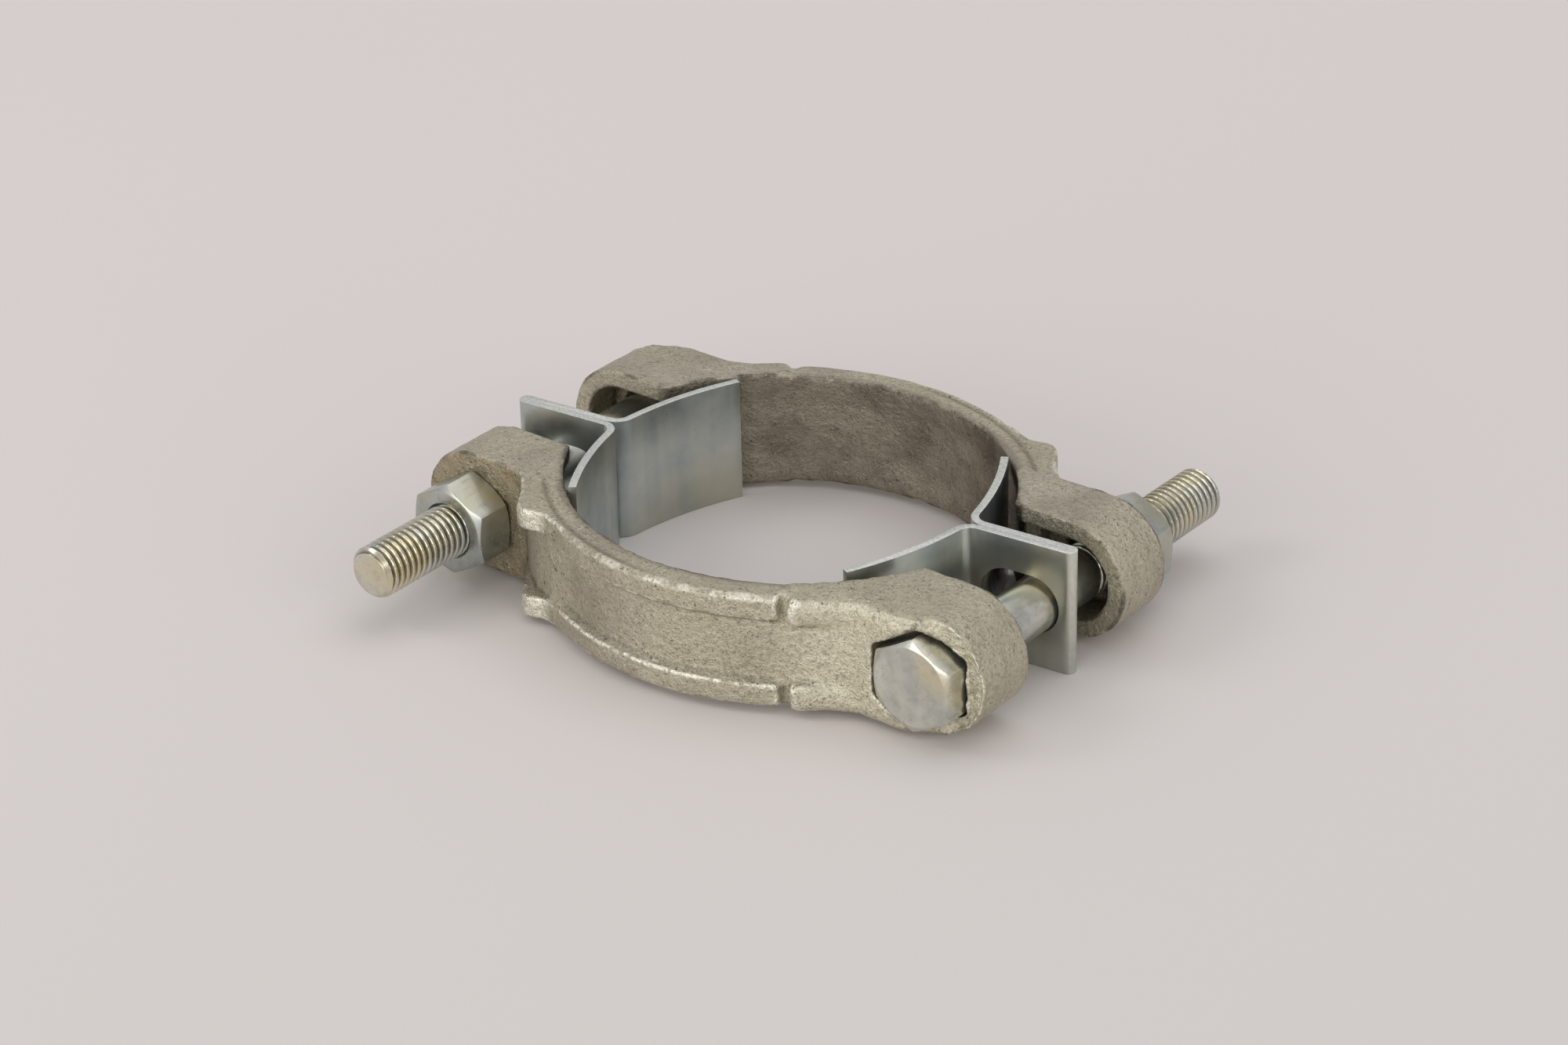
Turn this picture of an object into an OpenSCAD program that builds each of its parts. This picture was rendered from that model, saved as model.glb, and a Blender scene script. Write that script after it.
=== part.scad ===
// Two-bolt hose clamp: two identical half-ring castings drawn together by two hexagon bolts,
// with a folded steel saddle that bridges the gap at each side of the ring.
// +Z is the ring axis, the bolts run along Y, and the underside lies at z = 0.

/* [Ring] */
// radius of the bore in each casting
bore_r = 53; // [30:0.5:80]
// how far each casting's ring centre lies beyond the middle of the clamp
ring_shift = 6.9; // [0:0.1:15]
// height of the cast band along the ring axis
band_h = 26.6; // [18:0.2:40]
// depth of the hollow along the middle of the bore
bore_hollow = 0.9; // [0:0.1:2]
// radius over the two outer ribs
rib_r = 59.6; // [40:0.2:90]
// radius of the web between the ribs
web_r = 57.6; // [40:0.2:90]
// width of one rib, with the step down to the web
rib_w = 6.4; // [3:0.2:8]

/* [Ears] */
// distance of each bolt from the middle of the clamp
bolt_x = 60.6; // [45:0.2:90]
// height of the bolts above the underside
bolt_z = 14; // [10:0.1:20]
// how far the middle of each casting stands above its bolts, which lie low in their holes
cast_lift = 0.8; // [0:0.1:1.5]
// radius of the rounded outer end of an ear
ear_r = 13.7; // [10:0.1:20]
// wall around the pocket in an ear
ear_wall = 4.4; // [3:0.1:7]
// distance of the nut ear's parting face from the middle of the clamp
nut_parting_y = 17.9; // [5:0.1:30]
// distance of the head ear's parting face from the middle of the clamp
head_parting_y = 15.6; // [5:0.1:30]
// distance of the nut face from the middle of the clamp
nut_face_y = 33.5; // [20:0.5:50]
// distance of the head seat from the middle of the clamp
head_seat_y = 30; // [20:0.5:50]
// depth of the hexagon socket at its outer lip
lip_h = 2.1; // [1:0.1:6]
// distance of the ring side of the head ear from the middle of the clamp
shoulder_y = 36.6; // [25:0.2:50]
// clearance hole in the end wall of an ear
bolt_hole_d = 13.8; // [12.5:0.1:15]

/* [Bolts and nuts] */
// thread and shank diameter
bolt_d = 12; // [8:1:16]
// length under the head
bolt_len = 98; // [60:1:140]
// width across the flats of heads and nuts
hex_af = 19; // [13:1:24]
// head height
head_h = 7.5; // [5:0.1:10]
// nut height
nut_h = 10; // [6:0.1:14]

/* [Saddles] */
// thickness of the strip
strip_t = 1.7; // [1:0.1:3]
// width of the strip along the ring axis
strip_w = 28.9; // [18:0.2:40]
// distance of the folded outer end from the middle of the clamp
flange_end = 70.6; // [50:0.2:100]
// distance of the bends from the middle of the clamp
bend_x = 47.8; // [30:0.2:80]
// radius of a bend at the middle of the strip
bend_r = 3.8; // [2:0.1:6]
// radius of the curve of an arm
arm_r = 80; // [40:1:120]
// length of the arm on the nut side
nut_arm = 26.4; // [10:0.2:45]
// length of the arm on the head side
head_arm = 29.4; // [10:0.2:45]
// lean of the nut-side arm where it leaves its bend, in degrees
nut_arm_lean = 7.5; // [0:0.5:20]
// lean of the head-side arm where it leaves its bend, in degrees
head_arm_lean = 11; // [0:0.5:20]
// turn of a saddle against the bolts, in degrees
saddle_turn = 6; // [0:0.5:10]
// inner end of the bolt slot
slot_from = 48.2; // [40:0.2:60]
// outer end of the bolt slot
slot_to = 67.4; // [60:0.2:80]
// width of the bolt slot
slot_w = 13.6; // [12:0.1:16]

/* [Node] */
// the node to draw, or all

/* [Hidden] */
$fn = 96;
// the band, which is the same height above and below the middle of the casting
cast_z = bolt_z + cast_lift;
band_lo = cast_z - band_h / 2;
band_hi = cast_z + band_h / 2;
// rounded edge and inner step of a rib
rib_edge = 1;
rib_step = 0.9;
// where the ribs stop short of the head ear, and where the lobes on their line end
rib_stop = 31;
lobe_stop = 46.5;
// height of the horns and of the lobes, in from the band's edges
horn_h = 5.2;
lobe_h = 6.6;
// rounding of the shoulder and of the lobes
shoulder_round = 2.2;
lobe_round = 1.8;
// the ears: centre of the rounded end, pocket, end walls and mouth towards the ring
ear_x = bolt_x + 0.7;
ear_root = 38;
pocket_r = ear_r - ear_wall;
pocket_root = 49;
nut_wall = 6;
head_wall = 5.5;
mouth_depth = 6;
// play around a head in its socket, whose middle lies towards the ring and above the bolt
socket_play = 0.6;
socket_shift = 0.5;
socket_lift = 0.25;
// play under a nut and in its bore
nut_gap = 0.02;
nut_fit = 0.05;
// turned ends of the bolts and nuts
chamfer = 1.2;
face_inset = 0.3;
// gap between the two layers of a flange, and the pieces that its curves are drawn in
seam = 0.1;
arm_steps = 12;
bend_steps = 9;
fold_steps = 6;
// further than any part reaches, and a small overrun for cuts
far = 100;
over = 1;
cast_grey = [0.62, 0.59, 0.53];
plate_blue = [0.64, 0.68, 0.69];
plate_yellow = [0.72, 0.71, 0.63];

// a flat X-Z outline, drawn from y = from to y = to
module along_y(from, to)
    translate([0, to, 0]) rotate([90, 0, 0]) linear_extrude(to - from) children();

// an X-Y outline, drawn over a band of height
module over_z(from, to)
    translate([0, 0, from]) linear_extrude(to - from) children();

// both mirror copies about the middle height
module top_and_bottom() {
    children();
    translate([0, 0, 2 * cast_z]) mirror([0, 0, 1]) children();
}

// outline of an ear or of its pocket: a round outer end and a straight block towards the ring
module ear_outline(r, inner) {
    translate([ear_x, cast_z]) circle(r);
    translate([inner, cast_z - r]) square([ear_x - inner, 2 * r]);
}

// everything in front of the parting faces: the nut side at -X, the head side at +X
module front_half() {
    translate([-far, -far, -far]) cube([far, far - nut_parting_y, 2 * far]);
    translate([-over, -far, -far]) cube([far, far - head_parting_y, 2 * far]);
}

// solid of revolution about the casting's own ring axis
module ring_solid() translate([0, ring_shift, 0]) rotate_extrude() children();

module web_ring() {
    inner = bore_r - 10;
    intersection() {
        ring_solid() polygon([[inner, band_lo], [web_r, band_lo], [web_r, band_hi], [inner, band_hi]]);
        front_half();
    }
}

// the two outer ribs, which stop short of the head ear
module ribs() {
    inner = bore_r - 10;
    half_rib = [
        [rib_r - rib_edge, band_lo], [rib_r, band_lo + rib_edge],
        [rib_r, band_lo + rib_w - rib_step], [web_r - 0.4, band_lo + rib_w]];
    other_rib = [for (p = backwards(half_rib)) [p.x, 2 * cast_z - p.y]];
    intersection() {
        ring_solid() polygon(concat([[inner, band_lo]], half_rib, other_rib, [[inner, band_hi]]));
        translate([-far, -far, 0]) cube([far + rib_stop, far - nut_parting_y, far]);
    }
}

// the band swells towards the nut ear, and each rib ends in a short horn
module nut_side_horns() {
    swell = [
        [-22, -40], [-22, -46.2], [-31, -43.8], [-37, -41.2], [-41.5, -38],
        [-45, -35], [-47.5, -32.5], [-47.5, -26], [-38, -26]];
    horn = [
        [-24, -40], [-24, -47.4], [-27.5, -46], [-31, -44.9], [-33.2, -44.6], [-34.8, -45.4],
        [-37.2, -45.6], [-38.9, -44.7], [-40.4, -42.6], [-42.4, -39.4], [-44.6, -36.5],
        [-47, -34], [-48.5, -33.5], [-48, -26], [-38, -26]];
    over_z(band_lo, band_hi) polygon(swell);
    top_and_bottom() over_z(band_lo, band_lo + horn_h) polygon(horn);
}

// an X-Y outline over a band of height, with its -Y side rounded off towards both ends
module rounded_over_z(from, to, outline, round_r)
    for (a = [0:30:90]) {
        inset = round_r * (1 - cos(a));
        drop = round_r * (1 - sin(a));
        over_z(from + drop, to - drop) polygon([for (p = outline) [p.x, min(p.y + inset, -30)]]);
    }

// the shoulder between the band and the head ear, with a lobe on each rib's line
module head_side_shoulder() {
    shoulder = [
        [30, -30], [30, -42], [36, -40.2], [41, -38], [45.5, -shoulder_y], [56.5, -shoulder_y],
        [60, -shoulder_y + 1.2], [64.5, -head_seat_y - lip_h], [64, -20], [48, -20]];
    lobe = [
        [33, -30], [33, -42.6], [34, -43.6], [35.6, -43.2], [38, -41.2], [41, -38.9],
        [44, -37.4], [lobe_stop, -shoulder_y + 0.4], [lobe_stop, -30]];
    intersection() {
        rounded_over_z(cast_z - ear_r, cast_z + ear_r, shoulder, shoulder_round);
        along_y(-far, 0) ear_outline(ear_r, 20);
    }
    top_and_bottom() rounded_over_z(band_lo, band_lo + lobe_h, lobe, lobe_round);
}

module ear(face_y, parting) along_y(-face_y, -parting) ear_outline(ear_r, ear_root);

// the hollow of an ear: open at the parting face, and there open to the ring as well
module ear_hollow(end_y, parting) {
    along_y(-end_y, -parting + over) ear_outline(pocket_r, pocket_root);
    along_y(-parting - mouth_depth, -parting + over) ear_outline(pocket_r, ear_root - 2);
}

module bolt_hole() along_y(-far, 0) translate([bolt_x, cast_z]) circle(d = bolt_hole_d);

module hex_outline(af) rotate(30) circle(r = af / sqrt(3), $fn = 6);

module hex_socket()
    along_y(-far, -head_seat_y) translate([bolt_x - socket_shift, bolt_z + socket_lift])
        hex_outline(hex_af + 2 * socket_play);

// the bore, a little hollow between its two edge ridges
module bore_cutter() {
    ridge = 2;
    slope = 5;
    ring_solid() polygon([
        [0, band_lo - far], [bore_r, band_lo - far], [bore_r, band_lo + ridge],
        [bore_r + bore_hollow, band_lo + ridge + slope], [bore_r + bore_hollow, band_hi - ridge - slope],
        [bore_r, band_hi - ridge], [bore_r, band_hi + far], [0, band_hi + far]]);
}

// one casting, in its front place: nut ear at -X, head ear at +X
module casting()
    difference() {
        union() {
            web_ring();
            ribs();
            nut_side_horns();
            mirror([1, 0, 0]) ear(nut_face_y, nut_parting_y);
            ear(head_seat_y + lip_h, head_parting_y);
            head_side_shoulder();
        }
        bore_cutter();
        mirror([1, 0, 0]) ear_hollow(nut_face_y - nut_wall, nut_parting_y);
        ear_hollow(head_seat_y - head_wall, head_parting_y);
        mirror([1, 0, 0]) bolt_hole();
        bolt_hole();
        hex_socket();
    }

module front_casting() color(cast_grey) casting();

module rear_casting() color(cast_grey) rotate([0, 0, 180]) casting();

// points of an arc with the direction it faces, as [point, facing]; turn is 1 to face outward
function faced_arc(centre, r, from, to, steps, turn) =
    [for (i = [0:steps]) let (a = from + (to - from) * i / steps, out = [cos(a), sin(a)])
        [centre + r * out, turn * out]];

// the middle line of one layer on the +Y side, from its arm's tip to the middle of the fold
function layer_line(lean, arm) =
    let (
        layer_y = (seam + strip_t) / 2,
        bend_centre = [bend_x, layer_y + bend_r],
        arm_centre = bend_centre - (bend_r + arm_r) * [cos(lean), sin(lean)],
        tip = lean + arm / arm_r * 180 / PI,
        fold_centre = [flange_end - layer_y - strip_t / 2, 0])
    concat(
        faced_arc(arm_centre, arm_r, tip, lean + tip / arm_steps, arm_steps - 1, 1),
        faced_arc(bend_centre, bend_r, 180 + lean, 270, bend_steps, -1),
        faced_arc(fold_centre, layer_y, 90, 0, fold_steps, 1));

function backwards(list) = [for (i = [len(list) - 1:-1:0]) list[i]];

function across_x(line) = [for (p = line) [[p[0].x, -p[0].y], [p[1].x, -p[1].y]]];

module saddle_strip() {
    half = strip_t / 2;
    upper = layer_line(nut_arm_lean, nut_arm);
    lower = backwards(across_x(layer_line(head_arm_lean, head_arm)));
    line = concat(upper, [for (i = [1:len(lower) - 1]) lower[i]]);
    linear_extrude(strip_w) polygon(concat(
        [for (p = line) p[0] + half * p[1]],
        backwards([for (p = line) p[0] - half * p[1]])));
}

module bolt_slot() {
    slot_r = slot_w / 2;
    slot_z = strip_w / 2;
    along_y(-5, 5) {
        translate([slot_from + slot_r, slot_z]) circle(slot_r);
        translate([slot_to - slot_r, slot_z]) circle(slot_r);
        translate([slot_from + slot_r, slot_z - slot_r]) square([slot_to - slot_from - slot_w, slot_w]);
    }
}

// one saddle, in its right-hand place
module saddle()
    rotate([0, 0, saddle_turn]) difference() {
        saddle_strip();
        bolt_slot();
    }

module right_saddle() color(plate_blue) saddle();

module left_saddle() color(plate_blue) rotate([0, 0, 180]) saddle();

// hexagon block along +Y, with the corners turned off at one or both ends
module hex_block(height, both_ends) {
    corner_r = hex_af / sqrt(3);
    face_r = hex_af / 2 - face_inset;
    drop = (corner_r - face_r) * tan(30);
    top_end = [[corner_r, height - drop], [face_r, height], [0, height]];
    plain_end = [[0, 0], [corner_r, 0]];
    turned_end = [[0, 0], [face_r, 0], [corner_r, drop]];
    rotate([-90, 0, 0]) intersection() {
        linear_extrude(height) hex_outline(hex_af);
        rotate_extrude() polygon(concat(both_ends ? turned_end : plain_end, top_end));
    }
}

// a bolt along +Y, with its head seat at y = 0 and its head on the -Y side
module hex_bolt() {
    mirror([0, 1, 0]) hex_block(head_h, false);
    rotate([-90, 0, 0]) {
        cylinder(d = bolt_d, h = bolt_len - chamfer);
        translate([0, 0, bolt_len - chamfer])
            cylinder(d1 = bolt_d, d2 = bolt_d - 2 * chamfer, h = chamfer);
    }
}

module bolt_in_place() translate([bolt_x, -head_seat_y, bolt_z]) hex_bolt();

module right_bolt() color(plate_yellow) bolt_in_place();

module left_bolt() color(plate_yellow) rotate([0, 0, 180]) bolt_in_place();

module nut_in_place()
    translate([bolt_x, nut_face_y + nut_gap, bolt_z]) difference() {
        hex_block(nut_h, true);
        rotate([-90, 0, 0]) translate([0, 0, -over])
            cylinder(r = bolt_d / 2 + nut_fit, h = nut_h + 2 * over);
    }

module rear_nut() color(plate_yellow) nut_in_place();

module front_nut() color(plate_yellow) rotate([0, 0, 180]) nut_in_place();

front_casting();
rear_casting();
right_saddle();
left_saddle();
right_bolt();
left_bolt();
rear_nut();
front_nut();
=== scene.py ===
"""Looks for the two-bolt hose clamp: cast half rings, folded saddles, threaded bolts and nuts."""
import math

import bmesh
import bpy
import numpy as np
from mathutils import Matrix, Vector, noise
from mathutils.bvhtree import BVHTree


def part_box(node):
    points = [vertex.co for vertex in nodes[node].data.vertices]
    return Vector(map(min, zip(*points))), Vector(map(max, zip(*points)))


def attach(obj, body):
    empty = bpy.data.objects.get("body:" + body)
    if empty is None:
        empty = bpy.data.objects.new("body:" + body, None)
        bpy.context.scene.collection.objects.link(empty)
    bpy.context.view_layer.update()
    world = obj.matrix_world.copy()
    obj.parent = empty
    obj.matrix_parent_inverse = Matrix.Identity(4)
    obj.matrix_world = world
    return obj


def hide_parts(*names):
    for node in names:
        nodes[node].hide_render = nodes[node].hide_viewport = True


MM = 0.001
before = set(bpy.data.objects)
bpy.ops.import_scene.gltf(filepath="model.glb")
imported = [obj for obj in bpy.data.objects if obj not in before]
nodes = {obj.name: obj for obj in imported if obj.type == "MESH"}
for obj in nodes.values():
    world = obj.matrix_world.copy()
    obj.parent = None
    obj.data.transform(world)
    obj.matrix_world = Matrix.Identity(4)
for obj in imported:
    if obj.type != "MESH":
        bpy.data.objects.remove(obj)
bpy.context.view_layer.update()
scene = bpy.context.scene


# ---------------------------------------------------------------- places read from the frame

def middle(node):
    low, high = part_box(node)
    return (low + high) / 2


BOLT_X = middle("rear_nut").x
BOLT_Z = middle("rear_nut").z
HEAD_FACE_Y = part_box("right_bolt")[0].y
BOLT_END_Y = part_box("right_bolt")[1].y
NUT_IN_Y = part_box("rear_nut")[0].y
NUT_OUT_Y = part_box("rear_nut")[1].y
CAST_Z = middle("front_casting").z
HALF_TURN = Matrix.Rotation(math.pi, 4, "Z")


# ---------------------------------------------------------------- small helpers

def new_object(name, verts, faces):
    mesh = bpy.data.meshes.new(name)
    mesh.from_pydata([tuple(v) for v in verts], [], [tuple(int(i) for i in f) for f in faces])
    mesh.validate()
    ob = bpy.data.objects.new(name, mesh)
    scene.collection.objects.link(ob)
    return ob


def apply_modifiers(ob):
    graph = bpy.context.evaluated_depsgraph_get()
    mesh = bpy.data.meshes.new_from_object(ob.evaluated_get(graph))
    ob.modifiers.clear()
    old = ob.data
    ob.data = mesh
    bpy.data.meshes.remove(old)


def get_points(mesh):
    co = np.empty(len(mesh.vertices) * 3, np.float32)
    mesh.vertices.foreach_get("co", co)
    return co.reshape(-1, 3).astype(float)


def set_points(mesh, points):
    mesh.vertices.foreach_set("co", np.asarray(points, np.float32).ravel())
    mesh.update()


def get_edges(mesh):
    edges = np.empty(len(mesh.edges) * 2, np.int32)
    mesh.edges.foreach_get("vertices", edges)
    return edges.reshape(-1, 2)


def point_normals(mesh):
    normals = np.empty(len(mesh.vertices) * 3, np.float32)
    mesh.vertex_normals.foreach_get("vector", normals)
    return normals.reshape(-1, 3).astype(float)


def edges_and_counts(mesh):
    """The mesh's edges, and how many neighbours each vertex has, at least 1."""
    edges = get_edges(mesh)
    count = np.bincount(edges.ravel(), minlength=len(mesh.vertices)).astype(float)
    return edges, np.maximum(count, 1)


def neighbour_mean(values, edges, count):
    """Mean of each vertex's neighbours."""
    total = np.zeros_like(values)
    for axis in range(values.shape[1]):
        total[:, axis] += np.bincount(edges[:, 0], values[edges[:, 1], axis], len(values))
        total[:, axis] += np.bincount(edges[:, 1], values[edges[:, 0], axis], len(values))
    return total / count[:, None]


def relax(mesh, rounds, amount=0.5, weight=None):
    """Laplacian smoothing, more where weight is larger."""
    points = get_points(mesh)
    edges, count = edges_and_counts(mesh)
    step = amount if weight is None else amount * weight[:, None]
    for _ in range(rounds):
        points += step * (neighbour_mean(points, edges, count) - points)
    set_points(mesh, points)


def ramp(values, low, high):
    """A smooth step from 0 at low to 1 at high, either of which may be the larger."""
    t = np.clip((values - low) / (high - low), 0, 1)
    return t * t * (3 - 2 * t)


def shade_smooth(ob, angle=None):
    """Smooth shading, but for edges sharper than the angle in degrees, where one is given."""
    mesh = ob.data
    mesh.polygons.foreach_set("use_smooth", [True] * len(mesh.polygons))
    if angle is not None:
        mesh.set_sharp_from_angle(angle=math.radians(angle))
    mesh.update()


def fix_normals(ob):
    bm = bmesh.new()
    bm.from_mesh(ob.data)
    bmesh.ops.recalc_face_normals(bm, faces=bm.faces)
    bm.to_mesh(ob.data)
    bm.free()


def finish_piece(ob, node, body, material):
    """Gives a piece its material, hides the CAD node it replaces, and hangs it on the body it rides on."""
    ob.data.materials.clear()
    ob.data.materials.append(material)
    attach(ob, body)
    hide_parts(node)


# ---------------------------------------------------------------- materials

# the mix node's colour sockets, which share their names with its number and vector sockets
MIX_COLOUR_A = 6
MIX_COLOUR_B = 7
MIX_COLOUR_OUT = 2


class Nodes:
    """Short calls for building a node tree."""

    def __init__(self, name):
        self.material = bpy.data.materials.new(name)
        self.material.use_nodes = True
        self.tree = self.material.node_tree
        self.shader = self.tree.nodes["Principled BSDF"]
        self.place = self.tree.nodes.new("ShaderNodeTexCoord").outputs["Object"]

    def link(self, source, target):
        if isinstance(source, (int, float)):
            target.default_value = source
        elif isinstance(source, tuple):
            target.default_value = (*source, 1.0)
        else:
            self.tree.links.new(source, target)

    def noise(self, scale, detail=3.0, rough=0.5, place=None, distortion=0.0):
        node = self.tree.nodes.new("ShaderNodeTexNoise")
        node.inputs["Scale"].default_value = scale
        node.inputs["Detail"].default_value = detail
        node.inputs["Roughness"].default_value = rough
        node.inputs["Distortion"].default_value = distortion
        self.tree.links.new(place or self.place, node.inputs["Vector"])
        return node.outputs["Fac"]

    def cells(self, scale):
        node = self.tree.nodes.new("ShaderNodeTexVoronoi")
        node.inputs["Scale"].default_value = scale
        self.tree.links.new(self.place, node.inputs["Vector"])
        return node.outputs["Distance"]

    def stretch(self, factors, turn=(0, 0, 0)):
        node = self.tree.nodes.new("ShaderNodeMapping")
        node.inputs["Scale"].default_value = factors
        node.inputs["Rotation"].default_value = turn
        self.tree.links.new(self.place, node.inputs["Vector"])
        return node.outputs["Vector"]

    def span(self, value, low, high, out_low=0.0, out_high=1.0):
        """The value's stretch from low to high, mapped to out_low to out_high and clamped there."""
        node = self.tree.nodes.new("ShaderNodeMapRange")
        self.link(value, node.inputs["Value"])
        node.inputs["From Min"].default_value = low
        node.inputs["From Max"].default_value = high
        node.inputs["To Min"].default_value = out_low
        node.inputs["To Max"].default_value = out_high
        return node.outputs["Result"]

    def maths(self, operation, a, b):
        node = self.tree.nodes.new("ShaderNodeMath")
        node.operation = operation
        self.link(a, node.inputs[0])
        self.link(b, node.inputs[1])
        return node.outputs[0]

    def mix(self, factor, a, b):
        """Colour a where the factor is 0 and colour b where it is 1."""
        node = self.tree.nodes.new("ShaderNodeMix")
        node.data_type = "RGBA"
        self.link(factor, node.inputs["Factor"])
        self.link(a, node.inputs[MIX_COLOUR_A])
        self.link(b, node.inputs[MIX_COLOUR_B])
        return node.outputs[MIX_COLOUR_OUT]

    def attribute(self, name):
        node = self.tree.nodes.new("ShaderNodeAttribute")
        node.attribute_name = name
        return node.outputs["Fac"]

    def bump(self, height, strength, distance):
        node = self.tree.nodes.new("ShaderNodeBump")
        node.inputs["Strength"].default_value = strength
        node.inputs["Distance"].default_value = distance
        self.link(height, node.inputs["Height"])
        return node.outputs["Normal"]

    def set(self, **inputs):
        for name, value in inputs.items():
            self.link(value, self.shader.inputs[name.replace("_", " ")])


def srgb(r, g, b):
    """A linear colour from the usual 0 to 255 values."""
    return tuple(((c / 255 + 0.055) / 1.055) ** 2.4 if c > 10 else c / 255 / 12.92 for c in (r, g, b))


def cast_material():
    """Zinc on a sand casting: grainy, specked, brighter where it is rubbed, with painted highlights and
    glints, and brown in the hollows, partly painted shade.
    """
    n = Nodes("cast_zinc")
    grain = n.noise(2300, 2.0, 0.6)
    clumps = n.noise(900, 4.0, 0.7)
    lumps = n.noise(300, 3.0, 0.55)
    patches = n.noise(75, 3.0, 0.55)
    broad = n.noise(24, 2.0, 0.5)
    wear_and_highlight = n.attribute("wear_and_highlight")
    bore = n.attribute("bore")
    base = n.mix(n.span(patches, 0.35, 0.65), srgb(180, 173, 155), srgb(203, 196, 177))
    base = n.mix(n.span(broad, 0.42, 0.62, 0.0, 0.8), base, srgb(202, 196, 172))
    # the front-facing shoulder is lighter: partly rubbed zinc, partly painted light
    base = n.mix(n.attribute("shoulder_rub_and_light"), base, srgb(224, 219, 196))
    base = n.mix(n.maths("MULTIPLY", n.attribute("stain"), n.span(lumps, 0.25, 0.7, 0.9, 0.4)), base,
                 srgb(158, 142, 110))
    inner = n.mix(n.span(n.maths("ADD", bore, patches), 0.95, 1.4), srgb(166, 157, 140), srgb(66, 58, 50))
    base = n.mix(n.span(bore, 0.0, 0.4), base, inner)
    base = n.mix(n.span(clumps, 0.5, 0.66, 0.0, 0.55), base, srgb(146, 138, 122))
    # hollows and creases darken: partly darker cast skin, partly painted shade
    base = n.mix(n.span(n.attribute("hollow_tone_and_shade"), 0.12, 0.85, 0.0, 0.8), base, srgb(104, 97, 80))
    base = n.mix(n.span(n.attribute("rim"), 0.1, 0.9, 0.0, 0.75), base, srgb(96, 90, 78))
    # rubbed edges turn to bare zinc, and the same mask paints highlights on the rib crests and horn tips
    base = n.mix(n.span(wear_and_highlight, 0.1, 0.65, 0.0, 0.95), base, srgb(244, 241, 224))
    # painted glints: small bright spots on the skin, fewer in the bore
    painted_glints = n.span(n.noise(1300, 3.0, 0.7), 0.58, 0.7)
    painted_glints = n.maths("MULTIPLY", painted_glints, n.span(patches, 0.4, 0.6, 0.25, 0.7))
    base = n.mix(n.maths("MULTIPLY", painted_glints, n.span(bore, 0.0, 0.5, 1.0, 0.3)), base, srgb(246, 241, 222))
    thick = n.noise(640, 4.0, 0.75, distortion=0.3)
    specks = n.maths("MULTIPLY", n.span(thick, 0.61, 0.68), n.span(patches, 0.34, 0.56, 0.3, 0.95))
    flecks = n.maths("MULTIPLY", n.span(grain, 0.55, 0.68), n.span(lumps, 0.38, 0.6, 0.2, 0.65))
    base = n.mix(n.maths("MAXIMUM", specks, flecks), base, srgb(80, 76, 67))
    rough = n.span(clumps, 0.3, 0.7, 0.4, 0.56)
    rough = n.maths("SUBTRACT", rough, n.span(wear_and_highlight, 0.0, 0.8, 0.0, 0.24))
    height = n.maths("ADD", n.maths("MULTIPLY", grain, 0.6), n.maths("MULTIPLY", clumps, 1.4))
    height = n.maths("ADD", height, n.maths("MULTIPLY", lumps, 1.2))
    n.set(Base_Color=base, Roughness=rough, Metallic=0.88, Normal=n.bump(height, 1.0, 0.0003))
    return n.material


def saddle_material():
    """Plated sheet: smooth, with faint clouds and streaks across the strip, and bright cut edges."""
    n = Nodes("saddle_zinc")
    streaks = n.noise(1.0, 2.0, 0.5, n.stretch((170, 170, 6)))
    cloud = n.noise(70, 4.0, 0.6)
    broad = n.noise(26, 2.0, 0.5)
    fine = n.noise(1600, 2.0, 0.5)
    edge = n.attribute("cut_edge")
    base = n.mix(n.span(cloud, 0.36, 0.66), srgb(158, 170, 171), srgb(196, 201, 196))
    base = n.mix(n.span(streaks, 0.4, 0.68, 0.0, 0.5), base, srgb(210, 213, 205))
    base = n.mix(n.span(broad, 0.46, 0.64, 0.0, 0.42), base, srgb(196, 188, 160))
    specks = n.span(n.cells(380), 0.09, 0.05)
    specks = n.maths("MULTIPLY", specks, n.span(cloud, 0.52, 0.62, 0.0, 0.6))
    base = n.mix(specks, base, srgb(96, 94, 86))
    sheared = n.mix(n.span(n.noise(1.0, 3.0, 0.7, n.stretch((1500, 1500, 700))), 0.4, 0.68),
                    srgb(236, 238, 233), srgb(204, 207, 201))
    base = n.mix(edge, base, sheared)
    rough = n.maths("ADD", n.span(cloud, 0.3, 0.7, 0.26, 0.36), n.maths("MULTIPLY", edge, 0.14))
    height = n.maths("ADD", n.maths("MULTIPLY", streaks, 0.12), n.maths("MULTIPLY", fine, 0.03))
    height = n.maths("ADD", height, n.maths("MULTIPLY", n.maths("MULTIPLY", fine, edge), 0.45))
    n.set(Base_Color=base, Roughness=rough, Metallic=0.92, Normal=n.bump(height, 0.4, 0.0001))
    return n.material


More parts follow.
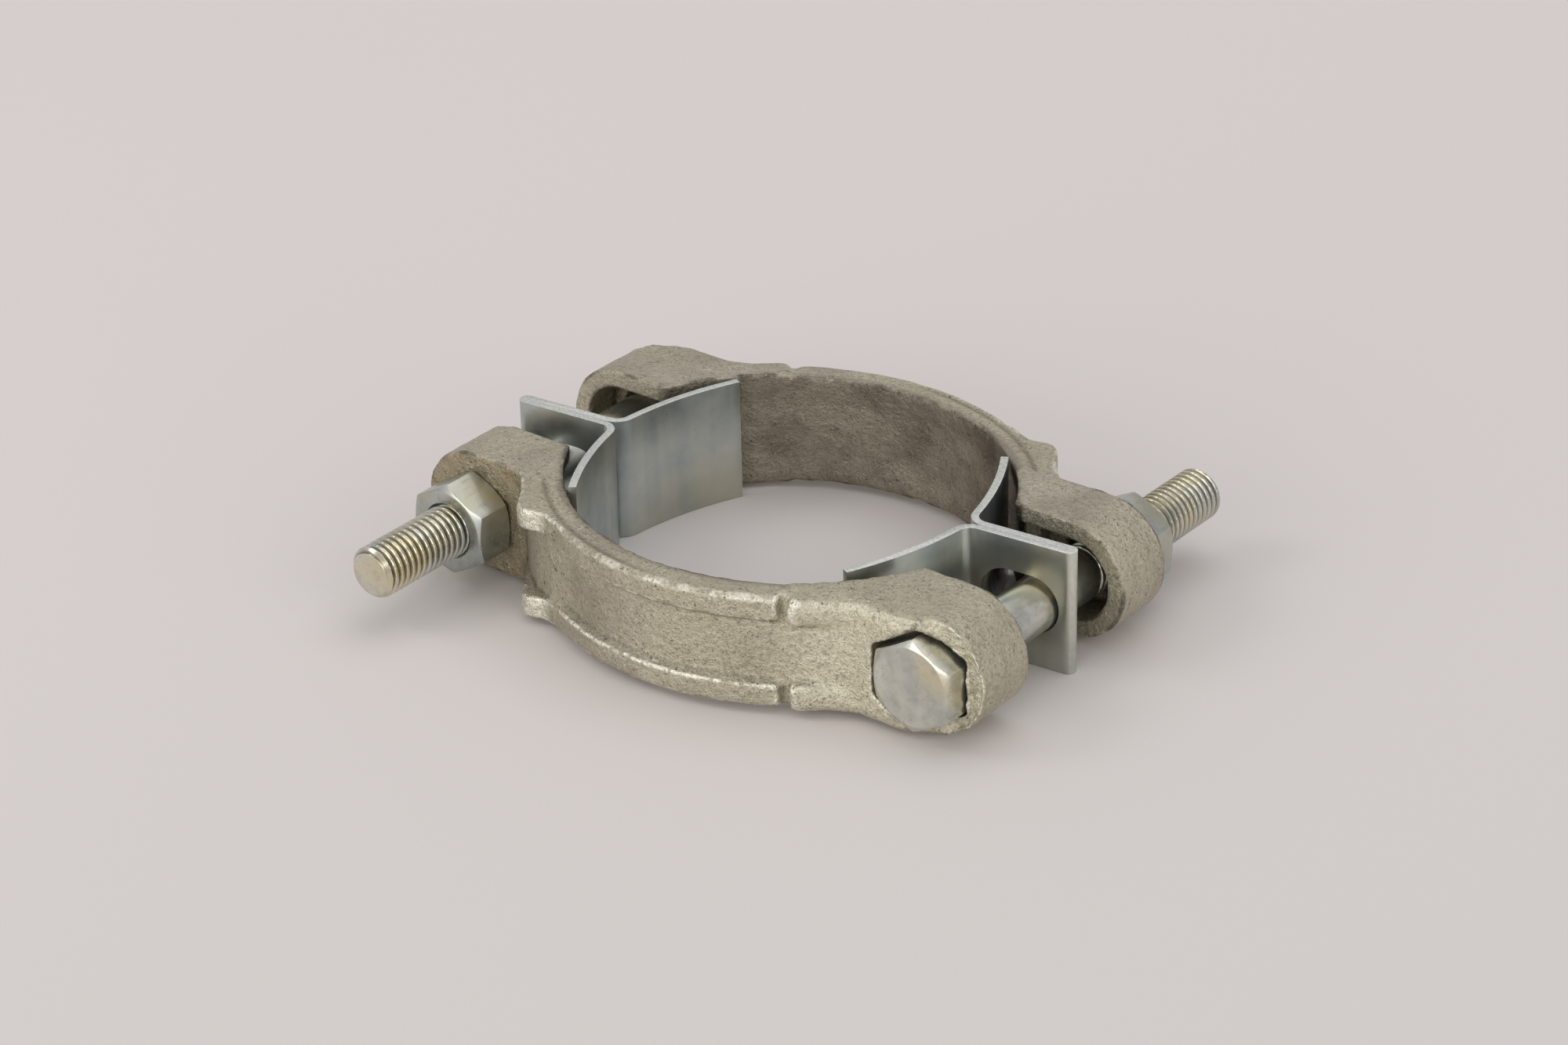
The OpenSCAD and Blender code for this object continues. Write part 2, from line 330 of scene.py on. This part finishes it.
def plated_material(name, light, dark, stain, roughness):
    """Zinc-plated steel with yellowish patches, fine marks and darker grooves, their darkness partly
    painted shade.
    """
    n = Nodes(name)
    cloud = n.noise(110, 4.0, 0.6)
    broad = n.noise(60, 3.0, 0.5)
    marks = n.noise(420, 3.0, 0.6)
    fine = n.noise(1800, 2.0, 0.5)
    groove = n.attribute("groove")
    base = n.mix(n.span(cloud, 0.36, 0.66), dark, light)
    base = n.mix(n.span(broad, 0.47, 0.62, 0.0, 0.75), base, stain)
    base = n.mix(n.span(marks, 0.52, 0.7, 0.0, 0.25), base, srgb(152, 153, 146))
    scratch = n.noise(1.0, 2.0, 0.6, n.stretch((900, 120, 900), (0.0, 0.0, 0.5)))
    base = n.mix(n.span(scratch, 0.6, 0.7, 0.0, 0.2), base, srgb(124, 124, 118))
    specks = n.span(n.cells(560), 0.11, 0.06)
    base = n.mix(n.maths("MULTIPLY", specks, n.span(cloud, 0.5, 0.6, 0.0, 0.7)), base, srgb(92, 88, 78))
    # the thread's grooves darken towards yellow-brown: painted shade, and yellowish plating gathered there
    base = n.mix(n.span(groove, 0.25, 1.0, 0.0, 0.8), base, srgb(112, 103, 74))
    rough = n.span(cloud, 0.3, 0.7, roughness - 0.05, roughness + 0.08)
    height = n.maths("ADD", n.maths("MULTIPLY", fine, 0.12), n.maths("MULTIPLY", marks, 0.5))
    n.set(Base_Color=base, Roughness=rough, Metallic=0.92, Normal=n.bump(height, 0.5, 0.0001))
    return n.material


CAST = cast_material()
SADDLE = saddle_material()
BOLT = plated_material("bolt_zinc", srgb(222, 222, 212), srgb(192, 194, 188), srgb(218, 208, 176), 0.23)
NUT = plated_material("nut_zinc", srgb(198, 202, 196), srgb(166, 172, 170), srgb(190, 184, 158), 0.28)


# ---------------------------------------------------------------- castings

VOXEL = 0.45 * MM
WELD = 0.001 * MM
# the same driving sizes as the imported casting, in millimetres, in its front place
RING_SHIFT = 6.9
BORE_R = 53.0
RIB_R = 59.6
BOLT_AT = BOLT_X / MM
MIDDLE_Z = CAST_Z / MM
NUT_FACE = 33.5
HEAD_LIP = 32.1

# bumps in the skin, how many there are in a millimetre
FINE_BUMPS = 0.75
MEDIUM_BUMPS = 0.27
BROAD_BUMPS = 0.09
# their heights in the same order, and how far the skin is first drawn in to make room for them
BUMP_HEIGHTS = np.array([0.085, 0.10, 0.12])
SKIN_IN = 0.08
BLUR_ROUNDS = 9
# the outer side of the band and the shoulder, from the middle of the clamp, up to the side of each ear
OUTER_SIDE = (31, 37)
EAR_SIDE = 58
EAR_BLEND = 8
# the torn skin beyond the socket: bumps, depth all over, and depth where it faces outward
LIP_FROM = (BOLT_AT + 3, BOLT_AT + 8)
LIP_OUT = (HEAD_LIP - 5.5, HEAD_LIP - 1)
LIP_FINE = 0.42
LIP_MIDDLE = 0.4
LIP_IN = 0.15
LIP_TORN = 0.9
# the crease beside each rib: its distance in from the rib's radius, its width and its depth
CREASE_IN = 2.2
CREASE_WIDTH = 0.7
CREASE_DEPTH = 0.45
CREASE_HEIGHT = (12.4, 12.9)
# extra height of the bumps along rims
RIM_BUMPS = 0.18


def remeshed_copy(name, source):
    """An even, closed mesh of the source, with its points drawn back onto the source's surface."""
    ob = bpy.data.objects.new(name, source.copy())
    scene.collection.objects.link(ob)
    bm = bmesh.new()
    bm.from_mesh(ob.data)
    bmesh.ops.remove_doubles(bm, verts=bm.verts, dist=WELD)
    bm.to_mesh(ob.data)
    surface = BVHTree.FromBMesh(bm)
    bm.free()
    remesh = ob.modifiers.new("remesh", "REMESH")
    remesh.mode = "VOXEL"
    remesh.voxel_size = VOXEL
    apply_modifiers(ob)
    relax(ob.data, 1)
    points = get_points(ob.data)
    for i, p in enumerate(points):
        points[i] = surface.find_nearest(Vector(p))[0]
    set_points(ob.data, points)
    return ob


def cast_grain(points, shift):
    """Bumps of about 1.3, 4 and 11 mm, each from -1 to 1."""
    bumps = np.empty((len(points), 3))
    for i, p in enumerate(points):
        q = Vector(p) / MM
        bumps[i, 0] = noise.noise(q * FINE_BUMPS + shift)
        bumps[i, 1] = noise.noise(q * MEDIUM_BUMPS - shift)
        bumps[i, 2] = noise.noise(q * BROAD_BUMPS + shift)
    return bumps


def bulge_of(mesh, points, normals):
    """How far each point stands out from its surroundings, in millimetres, less than 0 in a hollow."""
    edges, count = edges_and_counts(mesh)
    blurred = points.copy()
    for _ in range(BLUR_ROUNDS):
        blurred = neighbour_mean(blurred, edges, count)
    return np.einsum("ij,ij->i", points - blurred, normals) / MM


def cast_piece(name, node, body, seed, turned):
    ob = remeshed_copy(name, nodes[node].data)
    mesh = ob.data
    relax(mesh, 3)
    turn = -1.0 if turned else 1.0
    points = get_points(mesh)
    x, y, z = points[:, 0] * turn / MM, points[:, 1] * turn / MM, points[:, 2] / MM
    radius = np.hypot(x, y - RING_SHIFT)
    from_middle = np.abs(z - MIDDLE_Z)
    # the outer side of the band and the shoulder are softly rounded, the parting faces stay crisp
    soft = ramp(-y, *OUTER_SIDE) * ramp(EAR_SIDE - np.abs(x), 0, EAR_BLEND)
    relax(mesh, 2, 0.5, soft)
    points = get_points(mesh)
    normals = point_normals(mesh)
    facing = -normals[:, 1] * turn
    bulge = bulge_of(mesh, points, normals)
    bumps = cast_grain(points, Vector((seed * 3.1, seed * 1.7, seed * 0.9)))
    fine, medium = bumps[:, 0], bumps[:, 1]
    height = bumps @ BUMP_HEIGHTS - SKIN_IN
    # the socket's outer lip and the skin beyond it are ragged
    lip = ramp(x, *LIP_FROM) * ramp(-y, *LIP_OUT)
    height += lip * (LIP_FINE * fine + LIP_MIDDLE * medium - LIP_IN - LIP_TORN * ramp(facing, 0.3, 0.8))
    # a crease along the inside of each rib, from its horn to the middle
    crease = np.exp(-((radius - RIB_R + CREASE_IN) / CREASE_WIDTH) ** 2) * ramp(from_middle, *CREASE_HEIGHT)
    crease *= ramp(-y, 30, 34) * ramp(x, 12, -8)
    height -= CREASE_DEPTH * crease
    # parting rims and the outer edge of each rib are a little uneven
    height += ramp(bulge, 0.12, 0.3) * RIM_BUMPS * medium
    points += normals * (height * MM)[:, None]
    set_points(mesh, points)
    relax(mesh, 1, 0.4)
    set_points(mesh, np.clip(get_points(mesh), *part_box(node)))
    # where the material is worn or painted with highlights, darker along rims, darker in hollows and
    # creases (partly painted shade), inside the bore, stained, or lighter on the shoulder (partly painted
    # light)
    patchy = np.clip(0.6 + 1.5 * fine + 0.9 * medium, 0, 1)
    rubbed = np.maximum(soft, lip) * ramp(radius, BORE_R + 0.7, BORE_R + 2.6)
    edge_on = ramp(bulge, 0.07, 0.26)
    # painted highlight on the front facet of each horn
    painted_horn_highlight = ramp(-y, 43.2, 44.6) * ramp(-x, 29, 33) * ramp(facing, 0.2, 0.7)
    inside = ramp(BORE_R + 2.2 - radius, 0, 1.0) * ramp(from_middle, 14, 12.6)
    ear_face = ramp(-y, NUT_FACE - 1.5, NUT_FACE - 0.5) * ramp(facing, 0.5, 0.85) * ramp(-x, 42, 47)
    attributes = {
        "wear_and_highlight": np.maximum(edge_on * patchy * rubbed, 0.6 * painted_horn_highlight),
        "rim": edge_on * (1 - rubbed) * np.clip(0.5 + 1.4 * medium, 0, 1),
        # darker skin and painted shade in the hollows, and a painted groove shadow along each crease
        "hollow_tone_and_shade": np.maximum(ramp(-bulge, 0.06, 0.34), 0.6 * crease),
        "bore": inside * (0.5 + 0.5 * ramp(-x, 15, 42)),
        "stain": ear_face,
        # lighter front-facing shoulder: partly rubbed zinc, partly painted light
        "shoulder_rub_and_light": ramp(x, 24, 42) * ramp(-y, 29, 33) * ramp(facing, 0.35, 0.8),
    }
    for label, values in attributes.items():
        attribute = mesh.attributes.new(label, "FLOAT", "POINT")
        attribute.data.foreach_set("value", values.astype(np.float32))
    shade_smooth(ob)
    finish_piece(ob, node, body, CAST)


cast_piece("front_casting_cast", "front_casting", "front_half", 1.0, False)
cast_piece("rear_casting_cast", "rear_casting", "rear_half", 5.0, True)


# ---------------------------------------------------------------- bolts and nuts

PITCH = 1.75 * MM
CREST_R = 5.97 * MM
ROOT_R = 4.95 * MM
SHANK_R = 5.96 * MM
# where the thread starts, and the stretch over which it comes in
THREAD_FROM = 21 * MM
FADE_FROM = THREAD_FROM - 0.6 * MM
FADE_TO = THREAD_FROM + 1.6 * MM
RINGS_PER_PITCH = 18
RINGS_BEFORE_THREAD = 6
SHANK_RING_GAP = 4 * MM
# the turned end, and the shallow dishes in the end and in the head's face
END_CHAMFER = 1.15 * MM
END_DISH = 0.03 * MM
HEAD_DISH = 0.16 * MM
HEAD_HEIGHT = 7.5 * MM
# the hexagon, with its corners worn back, and its chamfer
AF = 19 * MM
CORNER_R = AF / math.sqrt(3)
CORNER_WORN = 0.12 * MM
CHAMFER_R = 9.15 * MM
CHAMFER_SLOPE = math.tan(math.radians(30))
# how far out along the chamfer its rings lie
CHAMFER_SHARES = (0.12, 0.5, 0.85)
NUT_CLEARANCE = 0.06 * MM
BOLT_SIDES = 96
NUT_SIDES = 120
BOLT_EDGE_ANGLE = 22


def hex_radius(angle, round_r):
    """Radius of a hexagon with a corner facing up, its corners cut by a circle of radius round_r."""
    t = (angle + math.pi / 6) % (math.pi / 3) - math.pi / 6
    return min(AF / 2 / math.cos(t), round_r)


def chamfer_drop(radii):
    """How far the chamfer lies below the face at a radius."""
    return np.maximum(radii - CHAMFER_R, 0) * CHAMFER_SLOPE


def thread_profile(phase):
    """Depth from 0 at the crest to 1 at the root, over one pitch, with rounded flanks."""
    t = np.abs((phase % 1.0) - 0.5) * 2
    return 1 - ramp(t, 0.06, 0.74)


class Lathe:
    """Rings of points round the right bolt's axis, each point with its depth in the thread's groove."""

    def __init__(self, sides):
        self.sides = sides
        self.angles = np.linspace(0, 2 * math.pi, sides, endpoint=False)
        self.corner = np.array([hex_radius(a, CORNER_R - CORNER_WORN) for a in self.angles])
        self.verts = []
        self.groove = []
        self.rings = []

    def ring(self, radii, y, depth=0.0):
        start = len(self.verts)
        columns = [np.broadcast_to(values, (self.sides,)) for values in (radii, y, depth)]
        for a, r, level, d in zip(self.angles, *columns):
            self.verts.append((BOLT_X + r * math.cos(a), level, BOLT_Z + r * math.sin(a)))
            self.groove.append(float(d))
        self.rings.append(range(start, start + self.sides))

    def centre(self, y):
        """A point on the axis, for a fan of triangles that closes an end."""
        self.verts.append((BOLT_X, y, BOLT_Z))
        self.groove.append(0.0)
        return len(self.verts) - 1


def ring_faces(rings, sides):
    """Faces that join each ring to the next."""
    faces = []
    for a, b in zip(rings[:-1], rings[1:]):
        for i in range(sides):
            j = (i + 1) % sides
            faces.append((a[i], a[j], b[j], b[i]))
    return faces


def bolt_piece(name, node, body, turned):
    lathe = Lathe(BOLT_SIDES)
    corner = lathe.corner
    drop = chamfer_drop(corner)
    seat = HEAD_FACE_Y + HEAD_HEIGHT
    # head: dished face, chamfer, flats, underside
    for r in (0.6, 3.5, 6.5):
        lathe.ring(r * MM, HEAD_FACE_Y + HEAD_DISH)
    lathe.ring(8.3 * MM, HEAD_FACE_Y + 0.14 * MM)
    lathe.ring(CHAMFER_R - 0.35 * MM, HEAD_FACE_Y + 0.03 * MM)
    lathe.ring(CHAMFER_R - 0.1 * MM, HEAD_FACE_Y + 0.02 * MM)
    for share in CHAMFER_SHARES:
        r = CHAMFER_R + (corner - CHAMFER_R) * share
        lathe.ring(r, HEAD_FACE_Y + chamfer_drop(r) + 0.04 * MM)
    lathe.ring(corner - 0.02 * MM, HEAD_FACE_Y + drop + 0.06 * MM)
    lathe.ring(corner, HEAD_FACE_Y + drop + 0.22 * MM)
    lathe.ring(corner, seat - 0.25 * MM)
    lathe.ring(corner - 0.06 * MM, seat - 0.06 * MM)
    lathe.ring(corner - 0.25 * MM, seat)
    # shank, with a small fillet under the head
    lathe.ring(SHANK_R + 0.8 * MM, seat)
    lathe.ring(SHANK_R + 0.15 * MM, seat + 0.15 * MM)
    lathe.ring(SHANK_R, seat + 0.7 * MM)
    for y in np.arange(seat + 3 * MM, THREAD_FROM - 1 * MM, SHANK_RING_GAP):
        lathe.ring(SHANK_R, y)
    # thread, cut down to a cone at the end
    step = PITCH / RINGS_PER_PITCH
    for y in np.arange(THREAD_FROM - step * RINGS_BEFORE_THREAD, BOLT_END_Y - 0.12 * MM, step):
        depth = thread_profile((y / PITCH) - lathe.angles / (2 * math.pi))
        depth = depth * float(ramp(np.array(y), FADE_FROM, FADE_TO))
        r = CREST_R - (CREST_R - ROOT_R) * depth
        cone = CREST_R - max(0.0, y - (BOLT_END_Y - END_CHAMFER))
        lathe.ring(np.minimum(r, cone), y, depth)
    end_r = CREST_R - END_CHAMFER
    lathe.ring(end_r + 0.02 * MM, BOLT_END_Y - 0.04 * MM)
    lathe.ring(end_r - 0.2 * MM, BOLT_END_Y)
    for r in (4.0, 2.2, 0.6):
        lathe.ring(r * MM, BOLT_END_Y - END_DISH)
    faces = [tuple(reversed(face)) for face in ring_faces(lathe.rings, BOLT_SIDES)]
    head_centre = lathe.centre(HEAD_FACE_Y + HEAD_DISH)
    end_centre = lathe.centre(BOLT_END_Y - END_DISH)
    first, last = lathe.rings[0], lathe.rings[-1]
    for i in range(BOLT_SIDES):
        j = (i + 1) % BOLT_SIDES
        faces.append((head_centre, first[i], first[j]))
        faces.append((end_centre, last[j], last[i]))
    ob = new_object(name, lathe.verts, faces)
    fix_normals(ob)
    attribute = ob.data.attributes.new("groove", "FLOAT", "POINT")
    attribute.data.foreach_set("value", np.array(lathe.groove, np.float32))
    if turned:
        ob.data.transform(HALF_TURN)
    shade_smooth(ob, BOLT_EDGE_ANGLE)
    finish_piece(ob, node, body, BOLT)


def nut_end(lathe, face, inward):
    """Rings from the bore's edge over a face to the top of the flats; inward points into the nut."""
    corner = lathe.corner
    drop = chamfer_drop(corner)
    bore = CREST_R + NUT_CLEARANCE
    lathe.ring(bore, face + inward * 0.5 * MM)
    lathe.ring(bore + 0.36 * MM, face + inward * 0.1 * MM)
    lathe.ring(bore + 0.5 * MM, face + inward * 0.02 * MM)
    lathe.ring(bore + 1.4 * MM, face)
    lathe.ring(CHAMFER_R - 0.35 * MM, face + inward * 0.01 * MM)
    lathe.ring(CHAMFER_R - 0.08 * MM, face + inward * 0.05 * MM)
    for share in CHAMFER_SHARES:
        r = CHAMFER_R + (corner - CHAMFER_R) * share
        lathe.ring(r, face + inward * (chamfer_drop(r) + 0.07 * MM))
    lathe.ring(corner - 0.02 * MM, face + inward * (drop + 0.1 * MM))
    lathe.ring(corner, face + inward * (drop + 0.28 * MM))


def nut_piece(name, node, body, turned):
    lathe = Lathe(NUT_SIDES)
    nut_end(lathe, NUT_OUT_Y, -1)
    outer = list(lathe.rings)
    nut_end(lathe, NUT_IN_Y, 1)
    inner = lathe.rings[len(outer):]
    # out over one face, back over the other and through the bore to the start
    loop = outer + inner[::-1] + [outer[0]]
    ob = new_object(name, lathe.verts, ring_faces(loop, NUT_SIDES))
    fix_normals(ob)
    if turned:
        ob.data.transform(HALF_TURN)
    shade_smooth(ob, BOLT_EDGE_ANGLE)
    finish_piece(ob, node, body, NUT)


bolt_piece("right_bolt_threaded", "right_bolt", "front_half", False)
bolt_piece("left_bolt_threaded", "left_bolt", "rear_half", True)
nut_piece("rear_nut_chamfered", "rear_nut", "rear_nut", False)
nut_piece("front_nut_chamfered", "front_nut", "front_nut", True)


# ---------------------------------------------------------------- saddles

FOLD_WELD = 0.07 * MM
FLAT_ANGLE = 0.8
BEVEL_WIDTH = 0.22 * MM
BEVEL_ANGLE = 50
SADDLE_EDGE_ANGLE = 35
# how far in from its outermost point the fold is rubbed, and how strongly
FOLD_DEPTH = 0.9 * MM
FOLD_RUBBED = 0.4


def saddle_piece(name, node, body):
    ob = bpy.data.objects.new(name, nodes[node].data.copy())
    scene.collection.objects.link(ob)
    bm = bmesh.new()
    bm.from_mesh(ob.data)
    # the fold's inner arc is closed to a line, so that the bevel has room beside it
    bmesh.ops.remove_doubles(bm, verts=bm.verts, dist=FOLD_WELD)
    bmesh.ops.dissolve_limit(bm, angle_limit=math.radians(FLAT_ANGLE), verts=bm.verts, edges=bm.edges)
    bm.to_mesh(ob.data)
    bm.free()
    bevel = ob.modifiers.new("bevel", "BEVEL")
    bevel.width = BEVEL_WIDTH
    bevel.segments = 3
    bevel.limit_method = "ANGLE"
    bevel.angle_limit = math.radians(BEVEL_ANGLE)
    apply_modifiers(ob)
    mesh = ob.data
    reach = [math.hypot(face.center.x, face.center.y) for face in mesh.polygons]
    fold = max(reach) - FOLD_DEPTH
    sheared = []
    for face, distance in zip(mesh.polygons, reach):
        rubbed_fold = FOLD_RUBBED if distance > fold else 0.0
        sheared.append(1.0 if abs(face.normal.z) > 0.5 else rubbed_fold)
    attribute = mesh.attributes.new("cut_edge", "FLOAT", "FACE")
    attribute.data.foreach_set("value", sheared)
    shade_smooth(ob, SADDLE_EDGE_ANGLE)
    finish_piece(ob, node, body, SADDLE)


saddle_piece("right_saddle_folded", "right_saddle", "right_saddle")
saddle_piece("left_saddle_folded", "left_saddle", "left_saddle")


# ---------------------------------------------------------------- floor, light and camera

def floor_material():
    """Pale paper, with painted light making it a little brighter further back."""
    n = Nodes("floor_paper")
    back_line = n.tree.nodes.new("ShaderNodeVectorMath")
    back_line.operation = "DOT_PRODUCT"
    back_line.inputs[1].default_value = (-0.63, 0.78, 0)
    n.tree.links.new(n.place, back_line.inputs[0])
    # painted light: the paper lightens towards the back
    paper_and_painted_light = n.mix(n.span(back_line.outputs["Value"], -0.25, 0.5), srgb(220, 215, 212), srgb(238, 231, 229))
    n.set(Base_Color=paper_and_painted_light, Roughness=0.85, Specular_IOR_Level=0.2)
    return n.material


FLOOR_REACH = 6
FLOOR_Z = -0.1 * MM
corners = [(x * FLOOR_REACH, y * FLOOR_REACH, FLOOR_Z) for x, y in ((-1, -1), (1, -1), (1, 1), (-1, 1))]
floor = new_object("floor", corners, [(0, 1, 2, 3)])
floor.data.materials.append(floor_material())

world = bpy.data.worlds.new("studio")
scene.world = world
world.use_nodes = True
background = world.node_tree.nodes["Background"]
background.inputs["Color"].default_value = (*srgb(236, 234, 236), 1.0)
background.inputs["Strength"].default_value = 0.59


def area_light(name, place, target, size, power, colour):
    light = bpy.data.lights.new(name, "AREA")
    light.shape = "RECTANGLE"
    light.size, light.size_y = size
    light.energy = power
    light.color = colour
    ob = bpy.data.objects.new(name, light)
    ob.location = place
    ob.rotation_euler = (Vector(place) - Vector(target)).to_track_quat("Z", "Y").to_euler()
    scene.collection.objects.link(ob)


area_light("overhead", (0.1, 0.4, 1.3), (0, 0, 0), (1.4, 1.1), 4.0, (1.0, 0.995, 0.985))
area_light("front_low", (-0.05, -1.2, 0.38), (0, 0, 0.01), (1.3, 0.6), 5.2, (1.0, 0.99, 0.975))
area_light("front_left", (-0.7, -0.6, 0.85), (0, 0, 0.01), (0.45, 0.4), 1.6, (1.0, 0.99, 0.97))
area_light("right_side", (1.15, -0.2, 0.45), (0, 0, 0.01), (0.9, 0.7), 2.6, (1.0, 0.99, 0.975))

camera_data = bpy.data.cameras.new("camera")
camera_data.sensor_width = 36
camera_data.lens = 105.4735
camera_data.clip_start = 0.05
camera_data.clip_end = 30
camera = bpy.data.objects.new("camera", camera_data)
scene.collection.objects.link(camera)
scene.camera = camera

AZIMUTH, ELEVATION, ROLL = (math.radians(v) for v in (39.10555, 28.36261, -1.31376))
DISTANCE = 998.13 * MM
TARGET = Vector((-4.6342, 3.5020, 13.5)) * MM
level = math.cos(ELEVATION)
back = Vector((math.sin(AZIMUTH) * level, -math.cos(AZIMUTH) * level, math.sin(ELEVATION)))
right = Vector((math.cos(AZIMUTH), math.sin(AZIMUTH), 0))
up = back.cross(right)
rolled_right = right * math.cos(ROLL) + up * math.sin(ROLL)
rolled_up = up * math.cos(ROLL) - right * math.sin(ROLL)
axes = Matrix((rolled_right, rolled_up, back)).transposed().to_4x4()
camera.matrix_world = Matrix.Translation(TARGET + back * DISTANCE) @ axes

scene.view_settings.view_transform = "Standard"
